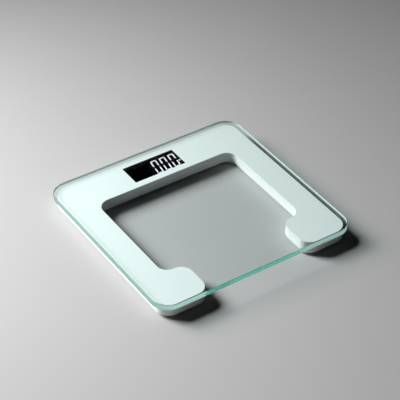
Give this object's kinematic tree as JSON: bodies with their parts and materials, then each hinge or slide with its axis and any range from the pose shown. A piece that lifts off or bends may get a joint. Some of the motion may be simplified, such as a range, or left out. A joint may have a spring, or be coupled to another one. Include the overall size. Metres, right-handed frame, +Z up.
{
  "type": "glass platform digital scale",
  "caption": "Flat digital personal scale: a clear glass platform on a U-shaped housing with a display window, sprung load-cell feet, a battery door and a unit button.",
  "frame": {"origin": "on the floor, under the middle of the glass platform", "axes": "+Z up, +X along the platform's longer side, to the right of someone reading the display, +Y towards the display"},
  "size_m": [0.31, 0.3, 0.0275],
  "materials": {
    "clear_glass": "tempered float glass, polished edge",
    "bond_film": "white adhesive film",
    "white_abs": "moulded ABS, satin",
    "smoked_lens": "polished dark window",
    "lcd_glass": "negative LCD glass",
    "light_guide": "moulded light guide",
    "zebra_rubber": "silicone connector",
    "circuit_board": "green solder resist",
    "chip_epoxy": "black epoxy blob",
    "zinc_steel": "zinc plated",
    "load_cell_steel": "stamped and zinc plated",
    "nickel_strip": "nickel plated strip",
    "foot_grey": "moulded ABS, fine texture",
    "button_grey": "moulded ABS, fine texture",
    "pad_rubber": "moulded rubber",
    "gauge_sealant": "white silicone sealant",
    "battery_wrap": "printed film over the can",
    "cell_lead": "PVC insulated leads",
    "power_lead": "PVC insulated leads"
  },
  "bodies": {
    "platform": {"backlight_guide": "light_guide", "battery_inner": "battery_wrap", "battery_link": "nickel_strip", "battery_outer": "battery_wrap", "battery_terminal_inner": "nickel_strip", "battery_terminal_outer": "nickel_strip", "board_screw_left": "zinc_steel", "board_screw_right": "zinc_steel", "bond_film": "bond_film", "bottom_cover": "white_abs", "cell_holder_back_left": "white_abs", "cell_holder_back_right": "white_abs", "cell_holder_front_left": "white_abs", "cell_holder_front_right": "white_abs", "cell_lead_back_left": "cell_lead", "cell_lead_back_right": "cell_lead", "cell_lead_front_left": "cell_lead", "cell_lead_front_right": "cell_lead", "controller_chip": "chip_epoxy", "cover_screw_arm_back_left": "zinc_steel", "cover_screw_arm_back_right": "zinc_steel", "cover_screw_arm_front_left": "zinc_steel", "cover_screw_arm_front_right": "zinc_steel", "cover_screw_beam_left": "zinc_steel", "cover_screw_beam_right": "zinc_steel", "cover_screw_lobe_left": "zinc_steel", "cover_screw_lobe_right": "zinc_steel", "display_lens": "smoked_lens", "gauge_seal_back_left": "gauge_sealant", "gauge_seal_back_right": "gauge_sealant", "gauge_seal_front_left": "gauge_sealant", "gauge_seal_front_right": "gauge_sealant", "glass_platform": "clear_glass", "lcd_frame": "white_abs", "lcd_panel": "lcd_glass", "load_cell_back_left": "load_cell_steel", "load_cell_back_right": "load_cell_steel", "load_cell_front_left": "load_cell_steel", "load_cell_front_right": "load_cell_steel", "main_board": "circuit_board", "power_lead": "power_lead", "unit_switch": "zinc_steel", "upper_housing": "white_abs", "zebra_connector": "zebra_rubber"},
    "battery_door": {"battery_door": "white_abs"},
    "unit_button": {"unit_button": "button_grey"},
    "foot_front_left": {"foot_front_left": "foot_grey", "foot_pad_front_left": "pad_rubber"},
    "foot_front_right": {"foot_front_right": "foot_grey", "foot_pad_front_right": "pad_rubber"},
    "foot_back_left": {"foot_back_left": "foot_grey", "foot_pad_back_left": "pad_rubber"},
    "foot_back_right": {"foot_back_right": "foot_grey", "foot_pad_back_right": "pad_rubber"}
  },
  "joints": [
    {"name": "foot_front_left_press", "type": "slide", "parent": "platform", "child": "foot_front_left", "axis": [0, 0, 1], "range_m": [0, 0.0004], "stiffness_N_per_m": 3000, "springref_m": -0.003},
    {"name": "foot_front_right_press", "type": "slide", "parent": "platform", "child": "foot_front_right", "axis": [0, 0, 1], "range_m": [0, 0.0004], "stiffness_N_per_m": 3000, "springref_m": -0.003},
    {"name": "foot_back_left_press", "type": "slide", "parent": "platform", "child": "foot_back_left", "axis": [0, 0, 1], "range_m": [0, 0.0004], "stiffness_N_per_m": 3000, "springref_m": -0.003},
    {"name": "foot_back_right_press", "type": "slide", "parent": "platform", "child": "foot_back_right", "axis": [0, 0, 1], "range_m": [0, 0.0004], "stiffness_N_per_m": 3000, "springref_m": -0.003},
    {"name": "battery_door_hinge", "type": "hinge", "parent": "platform", "child": "battery_door", "pos_m": [0.1303, -0.02375, 0.0036], "axis": [-1, 0, 0], "range_deg": [0, 90]},
    {"name": "unit_button_press", "type": "slide", "parent": "platform", "child": "unit_button", "axis": [0, 0, 1], "range_m": [0, 0.0005], "stiffness_N_per_m": 60, "springref_m": -0.004}
  ]
}
